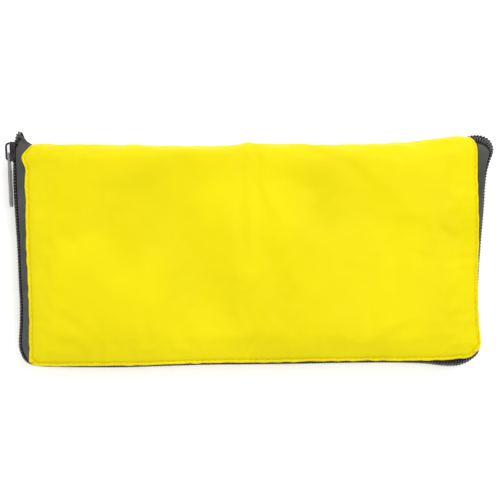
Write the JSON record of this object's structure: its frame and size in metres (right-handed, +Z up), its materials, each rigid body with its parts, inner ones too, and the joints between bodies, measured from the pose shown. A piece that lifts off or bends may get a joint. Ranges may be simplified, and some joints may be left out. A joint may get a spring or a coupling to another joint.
{
  "type": "foldable tote bag",
  "caption": "Fabric tote bag folded flat inside its own zip-around pouch; the slider runs along one end and the front panel opens about the folded spine.",
  "frame": {"origin": "on the underside of the back panel, below the middle of the panel's length and of the zipper loop's depth", "axes": "+X along the fold with the slider's end at -X, +Y towards the folded spine, +Z up through the thickness to the front panel"},
  "size_m": [0.2463, 0.121, 0.023],
  "materials": {
    "cover_fabric": "bright yellow coated polyester, fine weave with a soft satin sheen",
    "lining_fabric": "yellow uncoated reverse, matt",
    "zip_tape": "dark grey woven tape, matt",
    "zip_coil": "black nylon monofilament, slightly glossy",
    "zip_cord": "black twisted filler cord",
    "slider_metal": "gunmetal plated zinc, satin",
    "tote_fabric": "thin yellow plain weave, matt",
    "webbing": "dark grey woven webbing, matt"
  },
  "bodies": {
    "back": {"back_cover": "cover_fabric", "back_lining": "lining_fabric", "back_seam_binding": "zip_tape", "back_zip_tape": "zip_tape", "back_zip_coil": "zip_coil", "back_coil_cord": "zip_cord", "front_tape_ends": "zip_tape", "front_coil_ends": "zip_coil", "tote_front_wall": "tote_fabric", "tote_back_wall": "tote_fabric", "tote_left_gusset": "tote_fabric", "tote_right_gusset": "tote_fabric", "tote_top_hem": "tote_fabric", "tote_anchor_tape": "webbing", "front_handle_patches": "tote_fabric", "back_handle_patches": "tote_fabric", "front_handle": "webbing", "back_handle": "webbing"},
    "front": {"front_cover": "cover_fabric", "front_lining": "lining_fabric", "front_seam_binding": "zip_tape", "front_zip_tape": "zip_tape", "front_zip_coil": "zip_coil", "front_coil_cord": "zip_cord"},
    "slider": {"slider_body": "slider_metal", "slider_bail": "slider_metal"},
    "pull": {"pull_tab": "slider_metal"}
  },
  "joints": [
    {"name": "cover_hinge", "type": "hinge", "parent": "back", "child": "front", "pos_m": [0, 0.055, 0.0115], "axis": [-1, 0, 0], "range_deg": [0, 179]},
    {"name": "slider_run", "type": "slide", "parent": "back", "child": "slider", "axis": [0.0462, -0.9989, 0], "range_m": [0, 0.064]},
    {"name": "pull_swing", "type": "hinge", "parent": "slider", "child": "pull", "pos_m": [-0.12287, 0.04902, 0.0115], "axis": [0, 0, -1], "range_deg": [0, 130]}
  ]
}
